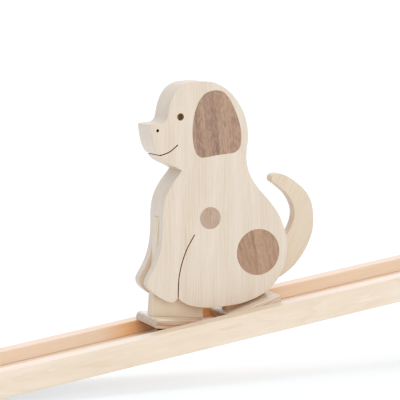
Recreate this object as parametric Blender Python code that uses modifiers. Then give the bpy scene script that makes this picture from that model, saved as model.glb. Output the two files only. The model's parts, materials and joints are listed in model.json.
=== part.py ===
"""Walking-dog seesaw, a wooden toy.

A long beam with a shallow channel along its top tilts on a low stand. A flat, layered dog stands in the
channel on two wide soles. Its front leg is fixed to the body. Its rear leg, with the tail, swings on the
shoulder dowel, so the dog can rock and step down the slope.

Frame: origin on the floor under the beam's pivot, +X towards the raised end, +Z up. The dog looks
towards -X, and its near side is the one that faces -Y.
"""

import math

import bmesh
import bpy
from mathutils import Matrix, Vector

MM = 0.001
GAP = 0.3 * MM  # left between pieces that touch
RUNNING_GAP = 0.1 * MM  # round a dowel that turns in its bore

# Beam. Heights in the beam's own frame are measured from its pivot axis.
TILT = math.radians(8.75)
BEAM_LENGTH = 800 * MM
PIVOT_DROP = 12 * MM  # pivot axis below the rails' underside
RAIL_THICKNESS = 12 * MM
RAIL_HEIGHT = 17.2 * MM
RAIL_ROUND = 0.8 * MM
CHANNEL_WIDTH = 42 * MM
CHANNEL_DEPTH = 9.1 * MM
FLOOR_THICKNESS = 5 * MM
GROOVE_DEPTH = 3 * MM
END_BLOCK_LENGTH = 12 * MM
END_BLOCK_RISE = 5 * MM  # above the rails
END_DOWEL_RADIUS = 2.5 * MM
RAIL_TOP = PIVOT_DROP + RAIL_HEIGHT
FLOOR_TOP = RAIL_TOP - CHANNEL_DEPTH
FLOOR_BOTTOM = FLOOR_TOP - FLOOR_THICKNESS

# Pivot and stand
AXLE_RADIUS = 5 * MM
PIVOT_BLOCK = (48 * MM, 34 * MM)  # along X and Y
PIVOT_BLOCK_BELOW_AXIS = 11 * MM
BLOCK_DOWEL_RADIUS = 2.5 * MM
BLOCK_DOWEL_OFFSET = 16 * MM
BLOCK_DOWEL_FOOT = -6 * MM
PIVOT_HEIGHT = BEAM_LENGTH / 2 * math.sin(TILT) - PIVOT_DROP * math.cos(TILT) + GAP
BASE_SIZE = (80 * MM, 70 * MM, 12 * MM)
CHEEK_THICKNESS = 10 * MM
CHEEK_SIDE_PLAY = 1.2 * MM  # between the pivot block and each cheek
CHEEK_FOOT = 50 * MM
CHEEK_ABOVE_AXIS = 10.5 * MM
SCREW_OFFSET = 16 * MM
SCREW_SHANK = 1.7 * MM
SCREW_HEAD = 3.5 * MM
SCREW_LENGTH = 28 * MM
SCREW_SUNK = 0.6 * MM

# Dog. Its frame has its origin on the shoulder dowel's axis and stands upright while the beam slopes.
DOG_FROM_PIVOT = 204.8 * MM  # along the beam, towards the low end
AXLE_ABOVE_FLOOR = 74.17 * MM  # shoulder dowel above the channel's floor, square to it
BODY_THICKNESS = 24 * MM
SLOT_WIDTH = 8.8 * MM
LAYER_THICKNESS = SLOT_WIDTH - 2 * GAP
BODY_EDGE_ROUND = 1.2 * MM
SHOULDER_RADIUS = 7.5 * MM
HUB_RADIUS = 13 * MM
HUB_CLEARANCE = 0.6 * MM
HAUNCH_CENTRE = (35.4 * MM, -24.9 * MM)
HAUNCH_RADIUS = 15.85 * MM
INLAY_THICKNESS = 3 * MM
EYE = (-21.5 * MM, 68.6 * MM, 2.5 * MM, 6 * MM)  # X, Z, radius, depth
NOSTRIL = (-37.8 * MM, 59.9 * MM, 1.1 * MM, 5 * MM)
KERF_WIDTH = 0.9 * MM
SMALL_DOWEL_RADIUS = 2 * MM

# Feet. Each is given in a frame turned about the shoulder dowel until its sole is level.
FRONT_PITCH = math.radians(5.6)  # toe up
REAR_PITCH = math.radians(-19)  # heel up
FRONT_SOLE_DROP = 68.85 * MM  # sole's top below the dowel's axis
REAR_SOLE_DROP = 66.8 * MM
SOLE_TOE_ROUND = (1 * MM, 3.2 * MM)  # bottom, top
SOLE_HEEL_ROUND = (1.6 * MM, 0.6 * MM)
FRONT_SOLE_SPAN = (-35.2 * MM, 5.4 * MM)
REAR_SOLE_SPAN = (-10.4 * MM, 28.4 * MM)
FRONT_PAD_SPAN = (-33 * MM, 0 * MM)
REAR_PAD_SPAN = (0 * MM, 24 * MM)
SOLE_WIDTH = 38 * MM
SOLE_THICKNESS = 6.2 * MM
PAD_WIDTH = 35 * MM
PAD_THICKNESS = 0.8 * MM
FRONT_DOWELS = (-24 * MM, -6 * MM)
REAR_DOWELS = (1 * MM, 16 * MM)
SOLE_DOWEL_RISE = 10 * MM

# Outlines, in millimetres along X and Z from the shoulder dowel. A smooth curve runs through the points.
BACK = [
    (-43, 62.6), (-42.2, 63.7), (-38, 64.2), (-33.4, 65), (-31.2, 67.2), (-30.2, 71.5), (-28.6, 78),
    (-24.6, 85.6), (-18.5, 90.2), (-8, 91.8), (3, 90.9), (12.6, 85.9), (19.4, 78.9), (24.6, 70.2),
    (27.4, 59.5), (27.6, 52), (26.7, 44), (26.8, 37), (29.2, 28.4), (35, 19.5), (43.4, 10.2),
    (50.3, 1.2), (54.6, -8), (57, -17), (57.3, -25.5), (55.4, -34.5), (51.4, -42.8), (45.4, -49.8),
    (37, -55), (25.5, -58.9), (10, -60.8), (-5, -60.7), (-15.5, -58.3), (-21, -55.4), (-23.4, -52.6),
]
CHEST = [
    (-23.4, -52.6), (-25.2, -54.9), (-28, -55.7), (-33, -54), (-39.6, -49.7), (-44.2, -45.2),
    (-45.2, -41.2), (-43.6, -37.4), (-40.3, -31.8), (-37, -24), (-35, -15), (-34.3, -5), (-34.2, 3),
    (-33.2, 11), (-31, 17.8), (-27, 24.4), (-22.5, 30), (-20.4, 32.8),
]
JAW = [
    (-20.4, 32.8), (-24, 34.9), (-29.5, 37.4), (-33.6, 40), (-36.4, 43.4), (-38.6, 46), (-40.4, 49.6),
    (-41.8, 55), (-42.6, 60), (-43, 62.6),
]
EAR = [
    (3.5, 86), (9.2, 84.8), (13.8, 80), (17.8, 72.8), (20.5, 66), (22.3, 58.8), (22.6, 52.5),
    (21.4, 46.8), (18, 43.8), (12.6, 43), (4.8, 42.3), (-2.5, 41.2), (-6.6, 41.1), (-9.8, 43.4),
    (-12, 49), (-12.9, 56), (-12.8, 62), (-11.4, 70.4), (-8, 79), (-3, 84.2), (3.5, 86),
]
MOUTH = [(-48, 43), (-42, 43.1), (-37.8, 43.3), (-35.6, 43.5), (-29.3, 45.6), (-23.3, 50.1)]
LEG_LINE = [(-11.4, -10.6), (-17.2, -20.6), (-20.6, -29.6), (-22.7, -39), (-23.4, -52.6), (-23.4, -60)]
TAIL = [
    (47.5, -47), (55, -44.6), (61, -41.2), (68.4, -35), (75.8, -24.8), (80.3, -13.6), (81.1, -3.5),
    (79.1, 7.4), (74.2, 15.4), (67.2, 21.3), (59.5, 26), (53, 27.6), (49.4, 26.2), (48.9, 22.9),
    (53.3, 19.4), (60.3, 13.4), (64.5, 7.2), (66.3, 1), (65.6, -5.4), (60.4, -15), (50.8, -19.6),
]
CORE_FOOT = 1.6  # the core's lower edge at the chest
LEG_TOP = 1.3  # the front leg's upper edge
FRONT_LEG_CHEST = -34.3
FRONT_LEG_TOE = -33  # along the sole
FRONT_LEG_HEEL = 4.8
REAR_LEG_TOE = -6.6
REAR_LEG_HEEL = 23.5
REAR_LEG_BACK = (50.5, -19.6)  # upper corner of the joint with the tail
REAR_LEG_BACK_FOOT = (47.2, -47)  # lower corner of that joint
TAIL_DOWEL = (49 * MM, -33 * MM, 14 * MM)  # X, Z of its middle, and its length

XZ = Matrix(((1, 0, 0, 0), (0, 0, -1, 0), (0, 1, 0, 0), (0, 0, 0, 1)))  # outline stands up, facing -Y
YZ = Matrix(((0, 0, 1, 0), (1, 0, 0, 0), (0, 1, 0, 0), (0, 0, 0, 1)))  # outline faces +X
XY = Matrix.Identity(4)


# ---------------------------------------------------------------- outlines

def smooth_run(points, steps=3):
    """Points of a centripetal Catmull-Rom curve through the given ones."""
    first = tuple(2 * a - b for a, b in zip(points[0], points[1]))
    last = tuple(2 * a - b for a, b in zip(points[-1], points[-2]))
    padded = [Vector(point) for point in (first, *points, last)]
    run = []
    for a, b, c, d in zip(padded, padded[1:], padded[2:], padded[3:]):
        t1 = math.sqrt((b - a).length)
        t2 = t1 + math.sqrt((c - b).length)
        t3 = t2 + math.sqrt((d - c).length)
        for step in range(steps):
            t = t1 + (t2 - t1) * step / steps
            ab = a.lerp(b, t / t1)
            bc = b.lerp(c, (t - t1) / (t2 - t1))
            cd = c.lerp(d, (t - t2) / (t3 - t2))
            abc = ab.lerp(bc, t / t2)
            bcd = bc.lerp(cd, (t - t1) / (t3 - t1))
            run.append(tuple(abc.lerp(bcd, (t - t1) / (t2 - t1))))
    return run + [tuple(points[-1])]


def closed_by(*runs):
    """One outline from runs that each start where the last one ended."""
    return [point for run in runs for point in run[:-1]]


def arc(radius, start, end, steps, centre=(0, 0)):
    """Points of an arc from one angle to another, in degrees from +X towards +Z."""
    angles = [math.radians(start + (end - start) * step / steps) for step in range(steps + 1)]
    return [(centre[0] + radius * math.cos(a), centre[1] + radius * math.sin(a)) for a in angles]


def rounded(corners, steps=3):
    """A polygon given as (x, z, radius), each corner rounded to its radius."""
    outline = []
    for index, (x, z, radius) in enumerate(corners):
        corner = Vector((x, z))
        before = (Vector(corners[index - 1][:2]) - corner).normalized()
        after = (Vector(corners[(index + 1) % len(corners)][:2]) - corner).normalized()
        if radius == 0:
            outline.append((x, z))
            continue
        half = before.angle(after) / 2
        centre = corner + (before + after).normalized() * radius / math.sin(half)
        reach = radius / math.tan(half)
        start = corner + before * reach - centre
        turn = start.angle_signed(corner + after * reach - centre)
        for step in range(steps + 1):
            angle = -turn * step / steps
            spoke = Matrix.Rotation(angle, 2) @ start
            outline.append(tuple(centre + spoke))
    return outline


def offset(outline, distance):
    """A closed outline moved outwards by a distance, for outlines that turn smoothly."""
    area = sum(a[0] * b[1] - b[0] * a[1] for a, b in zip(outline, outline[1:] + outline[:1]))
    side = distance if area > 0 else -distance
    moved = []
    for index, point in enumerate(outline):
        along = Vector(outline[(index + 1) % len(outline)]) - Vector(outline[index - 1])
        normal = Vector((along.y, -along.x)).normalized()
        moved.append(tuple(Vector(point) + normal * side))
    return moved


def ribbon(path, width):
    """The outline of a saw cut of a given width along a path."""
    one_side, other_side = [], []
    for index, point in enumerate(path):
        along = Vector(path[min(index + 1, len(path) - 1)]) - Vector(path[max(index - 1, 0)])
        normal = Vector((along.y, -along.x)).normalized() * width / 2
        one_side.append(tuple(Vector(point) + normal))
        other_side.append(tuple(Vector(point) - normal))
    return one_side + other_side[::-1]


def from_foot(pitch, along, below):
    """A point given in a foot's level frame, in millimetres, as the dog's X and Z."""
    return (
        along * math.cos(pitch) - below * math.sin(pitch),
        -along * math.sin(pitch) - below * math.cos(pitch),
    )


def scaled(outline, factor):
    return [(x * factor, z * factor) for x, z in outline]


# ---------------------------------------------------------------- building

def clear_scene():
    for obj in list(bpy.data.objects):
        bpy.data.objects.remove(obj, do_unlink=True)


def new_collection(name):
    collection = bpy.data.collections.new(name)
    bpy.context.scene.collection.children.link(collection)
    return collection


def new_material(name, colour, roughness, metallic=0.0):
    material = bpy.data.materials.new(name)
    material.use_nodes = True
    shader = material.node_tree.nodes["Principled BSDF"]
    shader.inputs["Base Color"].default_value = (*colour, 1)
    shader.inputs["Roughness"].default_value = roughness
    shader.inputs["Metallic"].default_value = metallic
    material.diffuse_color = (*colour, 1)
    return material


def new_frame(name, parent, location, turn):
    """An empty turned about Y, which the pieces of one moving group hang from."""
    frame = bpy.data.objects.new(name, None)
    PIECES.objects.link(frame)
    frame.parent = parent
    frame.location = location
    frame.rotation_euler = (0, turn, 0)
    return frame


def add_object(name, mesh, parent, material=None):
    """A piece, or a cutter if it has no material."""
    obj = bpy.data.objects.new(name, mesh)
    obj.parent = parent
    if material is None:
        CUTTERS.objects.link(obj)
        obj.hide_render = True
        obj.display_type = "WIRE"
    else:
        PIECES.objects.link(obj)
        mesh.materials.clear()
        mesh.materials.append(material)
        mesh.shade_smooth()
        mesh.set_sharp_from_angle(angle=math.radians(32))
    return obj


def flat_mesh(name, outline, low, high, plane):
    """An outline, in metres, filled and given the thickness from low to high across its plane."""
    curve = bpy.data.curves.new(name, "CURVE")
    curve.dimensions = "2D"
    curve.fill_mode = "BOTH"
    curve.extrude = (high - low) / 2
    spline = curve.splines.new("POLY")
    spline.points.add(len(outline) - 1)
    for point, (x, y) in zip(spline.points, outline):
        point.co = (x, y, 0, 1)
    spline.use_cyclic_u = True
    guide = bpy.data.objects.new(name, curve)
    CUTTERS.objects.link(guide)
    graph = bpy.context.evaluated_depsgraph_get()
    mesh = bpy.data.meshes.new_from_object(guide.evaluated_get(graph))
    bpy.data.objects.remove(guide)
    shape = bmesh.new()
    shape.from_mesh(mesh)
    bmesh.ops.remove_doubles(shape, verts=shape.verts, dist=1e-6)
    bmesh.ops.dissolve_limit(
        shape, angle_limit=math.radians(0.2), verts=shape.verts, edges=shape.edges
    )
    bmesh.ops.recalc_face_normals(shape, faces=shape.faces)
    middle = (high + low) / 2
    across = plane @ Matrix.Translation((0, 0, middle if plane is not XZ else -middle))
    shape.transform(across)
    shape.to_mesh(mesh)
    shape.free()
    mesh.name = name
    return mesh


def weigh_edges(mesh, chosen):
    """Marks the edges that a Bevel modifier limited by weight will round."""
    weights = mesh.attributes.new("bevel_weight_edge", "FLOAT", "EDGE")
    for edge in mesh.edges:
        ends = [mesh.vertices[index].co for index in edge.vertices]
        weights.data[edge.index].value = 1.0 if chosen(*ends) else 0.0


def bevel(obj, width, segments=2, by_weight=False):
    modifier = obj.modifiers.new("rounded edges", "BEVEL")
    modifier.width = width
    modifier.segments = segments
    modifier.limit_method = "WEIGHT" if by_weight else "ANGLE"
    modifier.angle_limit = math.radians(40)
    return obj


def cut(obj, *cutters):
    for cutter in cutters:
        modifier = obj.modifiers.new(cutter.name, "BOOLEAN")
        modifier.operation = "DIFFERENCE"
        modifier.object = cutter
    return obj


def cylinder(name, radius, low, high, parent, material=None, across="Y", at=(0, 0), segments=32):
    """A round bar along Y, or up Z, from low to high, at two coordinates square to it."""
    shape = bmesh.new()
    bmesh.ops.create_cone(
        shape, cap_ends=True, segments=segments, radius1=radius, radius2=radius, depth=high - low
    )
    middle = (low + high) / 2
    if across == "Y":
        place = Matrix.Translation((at[0], middle, at[1])) @ Matrix.Rotation(math.pi / 2, 4, "X")
    elif across == "X":
        place = Matrix.Translation((middle, at[0], at[1])) @ Matrix.Rotation(math.pi / 2, 4, "Y")
    else:
        place = Matrix.Translation((at[0], at[1], middle))
    shape.transform(place)
    mesh = bpy.data.meshes.new(name)
    shape.to_mesh(mesh)
    shape.free()
    return add_object(name, mesh, parent, material)


def turned(name, profile, parent, material=None, location=(0, 0, 0), segments=16):
    """A solid turned about Z from a profile of (radius, height), listed from bottom to top."""
    shape = bmesh.new()
    verts = [shape.verts.new((radius, 0, height)) for radius, height in profile]
    for lower, upper in zip(verts, verts[1:]):
        shape.edges.new((lower, upper))
    mesh = bpy.data.meshes.new(name)
    shape.to_mesh(mesh)
    shape.free()
    obj = add_object(name, mesh, parent, material)
    obj.location = location
    screw = obj.modifiers.new("turned", "SCREW")
    screw.steps = segments
    screw.render_steps = segments
    screw.use_merge_vertices = True
    screw.merge_threshold = 0.00001
    screw.use_normal_calculate = True
    return obj


# ---------------------------------------------------------------- beam

def rail_outline():
    """Section of the near rail, its groove open towards the channel."""
    outer = -CHANNEL_WIDTH / 2 - RAIL_THICKNESS
    inner = -CHANNEL_WIDTH / 2
    groove = inner - GROOVE_DEPTH
    return rounded([
        (outer, PIVOT_DROP, 1.2 * MM),
        (inner, PIVOT_DROP, 0.8 * MM),
        (inner, FLOOR_BOTTOM - GAP, 0),
        (groove, FLOOR_BOTTOM - GAP, 0),
        (groove, FLOOR_TOP + GAP, 0),
        (inner, FLOOR_TOP + GAP, 0),
        (inner, RAIL_TOP, RAIL_ROUND),
        (outer, RAIL_TOP, RAIL_ROUND),
    ], steps=4)


def build_beam(beam):
    half = BEAM_LENGTH / 2
    outline = rail_outline()
    mirrored = [(-y, z) for y, z in reversed(outline)]
    side = CHANNEL_WIDTH / 2 + RAIL_THICKNESS
    dowel_height = (FLOOR_TOP + RAIL_TOP) / 2 + 0.2 * MM
    dowel_x = half - END_BLOCK_LENGTH / 2
    bores = [
        cylinder(f"{end}_end_dowel_bore", END_DOWEL_RADIUS + GAP, -side - 5 * MM, side + 5 * MM,
                 beam, at=(x, dowel_height), segments=24)
        for end, x in (("low", -dowel_x), ("high", dowel_x))
    ]
    for name, section in (("near_rail", outline), ("far_rail", mirrored)):
        rail = add_object(name, flat_mesh(name, section, -half, half, YZ), beam, RAIL)
        cut(rail, *bores)

    panel_half = CHANNEL_WIDTH / 2 + GROOVE_DEPTH - GAP
    panel = rounded([
        (-panel_half, FLOOR_BOTTOM, 0), (panel_half, FLOOR_BOTTOM, 0),
        (panel_half, FLOOR_TOP, 0), (-panel_half, FLOOR_TOP, 0),
    ])
    floor = add_object("channel_floor", flat_mesh("channel_floor", panel, -half, half, YZ), beam, FLOOR)

    block_half = CHANNEL_WIDTH / 2 - GAP
    for end, low in (("low", -half), ("high", half - END_BLOCK_LENGTH)):
        name = f"{end}_end_block"
        high = low + END_BLOCK_LENGTH
        block = rounded([
            (low, FLOOR_TOP + GAP, 0), (high, FLOOR_TOP + GAP, 0),
            (high, RAIL_TOP + END_BLOCK_RISE, 3.5 * MM), (low, RAIL_TOP + END_BLOCK_RISE, 3.5 * MM),
        ], steps=4)
        stop = add_object(name, flat_mesh(name, block, -block_half, block_half, XZ), beam, RAIL)
        cut(stop, bores[0] if end == "low" else bores[1])
        x = (low + high) / 2
        cylinder(f"{end}_end_dowel", END_DOWEL_RADIUS, -side, side, beam, DOWEL,
                 at=(x, dowel_height), segments=24)

    length, width = PIVOT_BLOCK
    section = rounded([
        (-length / 2, -PIVOT_BLOCK_BELOW_AXIS, 9 * MM), (length / 2, -PIVOT_BLOCK_BELOW_AXIS, 9 * MM),
        (length / 2, FLOOR_BOTTOM - GAP, 0), (-length / 2, FLOOR_BOTTOM - GAP, 0),
    ], steps=5)
    mesh = flat_mesh("pivot_block", section, -width / 2, width / 2, XZ)
    block = add_object("pivot_block", mesh, beam, STAND)
    cut(block, cylinder("pivot_bore", AXLE_RADIUS + RUNNING_GAP, -width, width, beam))
    for end, x in (("low", -BLOCK_DOWEL_OFFSET), ("high", BLOCK_DOWEL_OFFSET)):
        name = f"pivot_block_dowel_{end}"
        hole = cylinder(f"{name}_hole", BLOCK_DOWEL_RADIUS + GAP, BLOCK_DOWEL_FOOT - GAP, FLOOR_TOP + 5 * MM,
                        beam, across="Z", at=(x, 0), segments=24)
        cut(block, hole)
        cut(floor, hole)
        cylinder(name, BLOCK_DOWEL_RADIUS, BLOCK_DOWEL_FOOT, FLOOR_TOP, beam, DOWEL,
                 across="Z", at=(x, 0), segments=24)


# ---------------------------------------------------------------- stand

def screw_profile(clearance, head_end):
    """Countersunk wood screw, point up, from its head's face up to its point."""
    shank = SCREW_SHANK + clearance
    head = SCREW_HEAD + clearance
    return [
        (0, head_end), (head, head_end), (head, 0), (shank, SCREW_HEAD - SCREW_SHANK),
        (shank, SCREW_LENGTH - 4 * MM), (0, SCREW_LENGTH + clearance),
    ]


def build_stand(stand):
    length, width, thickness = BASE_SIZE
    corners = [(-1, -1), (1, -1), (1, 1), (-1, 1)]
    plan = rounded([(x * length / 2, y * width / 2, 8 * MM) for x, y in corners], steps=5)
    base = add_object("stand_base", flat_mesh("stand_base", plan, 0, thickness, XY), stand, STAND)
    bevel(base, 1.2 * MM)

    foot = thickness + GAP
    top = PIVOT_HEIGHT + CHEEK_ABOVE_AXIS
    outline = rounded([
        (-CHEEK_FOOT / 2, foot, 0), (CHEEK_FOOT / 2, foot, 0),
        (CHEEK_FOOT / 2, foot + 8 * MM, 4 * MM),
        (11.5 * MM, top, 9.5 * MM), (-11.5 * MM, top, 9.5 * MM),
        (-CHEEK_FOOT / 2, foot + 8 * MM, 4 * MM),
    ], steps=6)
    inner = PIVOT_BLOCK[1] / 2 + CHEEK_SIDE_PLAY
    outer = inner + CHEEK_THICKNESS
    axle_bore = cylinder("cheek_bore", AXLE_RADIUS + GAP, -outer * 2, outer * 2, stand, at=(0, PIVOT_HEIGHT))
    for side, low in (("near", -outer), ("far", inner)):
        name = f"stand_cheek_{side}"
        cheek = add_object(name, flat_mesh(name, outline, low, low + CHEEK_THICKNESS, XZ), stand, STAND)
        bevel(cheek, 0.8 * MM)
        cut(cheek, axle_bore)
        for end, x in (("low", -SCREW_OFFSET), ("high", SCREW_OFFSET)):
            place = (x, low + CHEEK_THICKNESS / 2, SCREW_SUNK)
            screw = f"stand_screw_{side}_{end}"
            hole = turned(f"{screw}_hole", screw_profile(GAP, -5 * MM), stand, location=place)
            cut(base, hole)
            cut(cheek, hole)
            turned(screw, screw_profile(0, -0.3 * MM), stand, STEEL, location=place)
    axle = cylinder("pivot_axle", AXLE_RADIUS, -outer - 1.5 * MM, outer + 1.5 * MM, stand, WALNUT,
                    at=(0, PIVOT_HEIGHT))
    bevel(axle, 0.6 * MM, segments=1)


# ---------------------------------------------------------------- dog's body

def core_outline():
    """Middle layer: head, neck and back, ending in a notch round the rear leg's hub."""
    back = [point for point in smooth_run(BACK) if point[1] > 0.5]
    notch = (HUB_RADIUS + HUB_CLEARANCE) / MM
    end_angle = 180 - math.degrees(math.asin(CORE_FOOT / notch))
    chest = [point for point in smooth_run(CHEST) if point[1] > CORE_FOOT]
    return (
        back + [(50.6, 0)] + arc(notch, 0, end_angle, 10)
        + [(FRONT_LEG_CHEST, CORE_FOOT)]
        + chest[:-1] + smooth_run(JAW)[:-1]
    )


def build_body(dog):
    half = BODY_THICKNESS / 2
    slot = SLOT_WIDTH / 2
    layer = LAYER_THICKNESS / 2
    outline = scaled(closed_by(smooth_run(BACK), smooth_run(CHEST), smooth_run(JAW)), MM)
    ear = scaled(smooth_run(EAR)[:-1], MM)

    mouth = add_object("mouth_cut", flat_mesh(
        "mouth_cut", scaled(ribbon(smooth_run(MOUTH), KERF_WIDTH / MM), MM), -2 * half, 2 * half, XZ), dog)
    line = scaled(ribbon(smooth_run(LEG_LINE), KERF_WIDTH / MM), MM)
    leg_line = add_object("leg_line_cut", flat_mesh("leg_line_cut", line, -2 * half, 2 * half, XZ), dog)
    dowel_bore = cylinder("shoulder_bore", SHOULDER_RADIUS + GAP, -2 * half, 2 * half, dog)

    for side, sign in (("near", -1), ("far", 1)):
        low, high = sorted((sign * slot, sign * half))
        name = f"body_{side}_side"
        mesh = flat_mesh(name, outline, low, high, XZ)
        face = sign * half
        weigh_edges(mesh, lambda a, b: abs(a.y - face) < 1e-6 and abs(b.y - face) < 1e-6)
        panel = add_object(name, mesh, dog, MAPLE)
        bevel(panel, BODY_EDGE_ROUND, by_weight=True)

        floor_of_pocket = sign * (half - INLAY_THICKNESS - GAP)
        low, high = sorted((floor_of_pocket, sign * 2 * half))
        ear_pocket = add_object(f"ear_pocket_{side}", flat_mesh(
            f"ear_pocket_{side}", offset(ear, GAP), low, high, XZ), dog)
        haunch_pocket = cylinder(f"haunch_pocket_{side}", HAUNCH_RADIUS + GAP, low, high, dog,
                                 at=HAUNCH_CENTRE, segments=48)
        holes = []
        for hole, (x, z, radius, depth) in (("eye", EYE), ("nostril", NOSTRIL)):
            low, high = sorted((sign * (half - depth), sign * 2 * half))
            holes.append(cylinder(f"{hole}_{side}", radius, low, high, dog, at=(x, z), segments=20))
        cut(panel, mouth, leg_line, dowel_bore, ear_pocket, haunch_pocket, *holes)

        low, high = sorted((sign * (half - INLAY_THICKNESS), sign * half))
        inlay = flat_mesh(f"ear_inlay_{side}", ear, low, high, XZ)
        add_object(f"ear_inlay_{side}", inlay, dog, WALNUT)
        cylinder(f"haunch_inlay_{side}", HAUNCH_RADIUS, low, high, dog, WALNUT,
                 at=HAUNCH_CENTRE, segments=48)

    mesh = flat_mesh("body_core", scaled(core_outline(), MM), -layer, layer, XZ)
    core = add_object("body_core", mesh, dog, MAPLE)
    cut(core, mouth)
    cylinder("shoulder_axle", SHOULDER_RADIUS, -half, half, dog, WALNUT)
    return core


# ---------------------------------------------------------------- feet

def build_foot(name, foot, leg, drop, sole_span, pad_span, dowels):
    """Sole, rubber pad and dowels under one leg, in the foot's level frame."""
    low, high = sole_span
    top, bottom = -drop, -drop - SOLE_THICKNESS
    side = rounded([
        (low, bottom, SOLE_TOE_ROUND[0]), (high, bottom, SOLE_HEEL_ROUND[0]),
        (high, top, SOLE_HEEL_ROUND[1]), (low, top, SOLE_TOE_ROUND[1]),
    ], steps=4)
    mesh = flat_mesh(f"{name}_sole", side, -SOLE_WIDTH / 2, SOLE_WIDTH / 2, XZ)
    sole = add_object(f"{name}_sole", mesh, foot, SOLE)
    bevel(sole, 0.8 * MM)
    for index, x in enumerate(dowels, 1):
        peg = f"{name}_sole_dowel_{index}"
        hole = cylinder(f"{peg}_hole", SMALL_DOWEL_RADIUS + GAP, bottom - 5 * MM,
                        top + SOLE_DOWEL_RISE + GAP, foot, across="Z", at=(x, 0), segments=16)
        cut(sole, hole)
        cut(leg, hole)
        cylinder(peg, SMALL_DOWEL_RADIUS, bottom, top + SOLE_DOWEL_RISE, foot, DOWEL,
                 across="Z", at=(x, 0), segments=16)
    plan = rounded([
        (x, y, 2 * MM) for x, y in (
            (pad_span[0], -PAD_WIDTH / 2), (pad_span[1], -PAD_WIDTH / 2),
            (pad_span[1], PAD_WIDTH / 2), (pad_span[0], PAD_WIDTH / 2))
    ])
    under = bottom - GAP
    pad = flat_mesh(f"{name}_grip_pad", plan, under - PAD_THICKNESS, under, XY)
    add_object(f"{name}_grip_pad", pad, foot, RUBBER)


def front_leg_outline():
    """Fixed leg in the front of the slot, hollowed round the rear leg's hub."""
    below = (FRONT_SOLE_DROP - GAP) / MM
    notch = (HUB_RADIUS + HUB_CLEARANCE) / MM
    toe = from_foot(FRONT_PITCH, FRONT_LEG_TOE, below)
    heel = from_foot(FRONT_PITCH, FRONT_LEG_HEEL, below)
    heel_angle = math.degrees(math.atan2(heel[1], heel[0])) - 1
    top_angle = -180 - math.degrees(math.asin(LEG_TOP / notch))
    return [(FRONT_LEG_CHEST, LEG_TOP), toe, heel] + arc(notch, heel_angle, top_angle, 8)


def build_front_leg(dog, core):
    layer = LAYER_THICKNESS / 2
    outline = scaled(front_leg_outline(), MM)
    leg = add_object("front_leg", flat_mesh("front_leg", outline, -layer, layer, XZ), dog, MAPLE)
    for index, x in enumerate((-29 * MM, -20 * MM), 1):
        peg = f"front_leg_dowel_{index}"
        hole = cylinder(f"{peg}_hole", SMALL_DOWEL_RADIUS + GAP, -8 * MM - GAP, 11 * MM + GAP, dog,
                        across="Z", at=(x, 0), segments=16)
        cut(leg, hole)
        cut(core, hole)
        cylinder(peg, SMALL_DOWEL_RADIUS, -8 * MM, 11 * MM, dog, DOWEL, across="Z", at=(x, 0), segments=16)
    foot = new_frame("front_foot_frame", dog, (0, 0, 0), FRONT_PITCH)
    build_foot("front", foot, leg, FRONT_SOLE_DROP, FRONT_SOLE_SPAN, FRONT_PAD_SPAN, FRONT_DOWELS)


def rear_leg_outline():
    """Swinging leg: a hub round the shoulder dowel, widening down to the sole and back to the tail."""
    below = (REAR_SOLE_DROP - GAP) / MM
    hub = HUB_RADIUS / MM
    toe = from_foot(REAR_PITCH, REAR_LEG_TOE, below)
    heel = from_foot(REAR_PITCH, REAR_LEG_HEEL, below)
    toe_angle = math.degrees(math.atan2(toe[1], toe[0]))
    return [toe, heel, REAR_LEG_BACK_FOOT, REAR_LEG_BACK] + arc(hub, -16, 360 + toe_angle, 26)


def build_rear_leg(hinge):
    layer = LAYER_THICKNESS / 2
    outline = scaled(rear_leg_outline(), MM)
    leg = add_object("rear_leg", flat_mesh("rear_leg", outline, -layer, layer, XZ), hinge, MAPLE)
    cut(leg, cylinder("rear_leg_bore", SHOULDER_RADIUS + RUNNING_GAP, -2 * layer, 2 * layer, hinge))
    mesh = flat_mesh("tail", scaled(smooth_run(TAIL), MM), -layer, layer, XZ)
    tail = add_object("tail", mesh, hinge, MAPLE)
    bevel(tail, 0.9 * MM)
    x, z, length = TAIL_DOWEL
    ends = (x - length / 2, x + length / 2)
    hole = cylinder("tail_dowel_hole", SMALL_DOWEL_RADIUS + GAP, ends[0] - GAP, ends[1] + GAP, hinge,
                    across="X", at=(0, z), segments=16)
    cut(leg, hole)
    cut(tail, hole)
    cylinder("tail_dowel", SMALL_DOWEL_RADIUS, *ends, hinge, DOWEL, across="X", at=(0, z), segments=16)
    foot = new_frame("rear_foot_frame", hinge, (0, 0, 0), REAR_PITCH)
    build_foot("rear", foot, leg, REAR_SOLE_DROP, REAR_SOLE_SPAN, REAR_PAD_SPAN, REAR_DOWELS)


clear_scene()
PIECES = new_collection("walking_dog_seesaw")
CUTTERS = new_collection("cutters")
MAPLE = new_material("maple", (0.79, 0.69, 0.57), 0.55)
SOLE = new_material("sole_maple", (0.72, 0.58, 0.45), 0.6)
RAIL = new_material("rail_beech", (0.84, 0.71, 0.56), 0.5)
FLOOR = new_material("floor_beech", (0.80, 0.66, 0.50), 0.55)
STAND = new_material("stand_beech", (0.80, 0.66, 0.52), 0.55)
DOWEL = new_material("dowel_beech", (0.70, 0.54, 0.38), 0.6)
WALNUT = new_material("walnut", (0.38, 0.24, 0.18), 0.5)
RUBBER = new_material("rubber", (0.02, 0.02, 0.02), 0.8)
STEEL = new_material("zinc_steel", (0.6, 0.6, 0.6), 0.35, 1.0)

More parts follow.
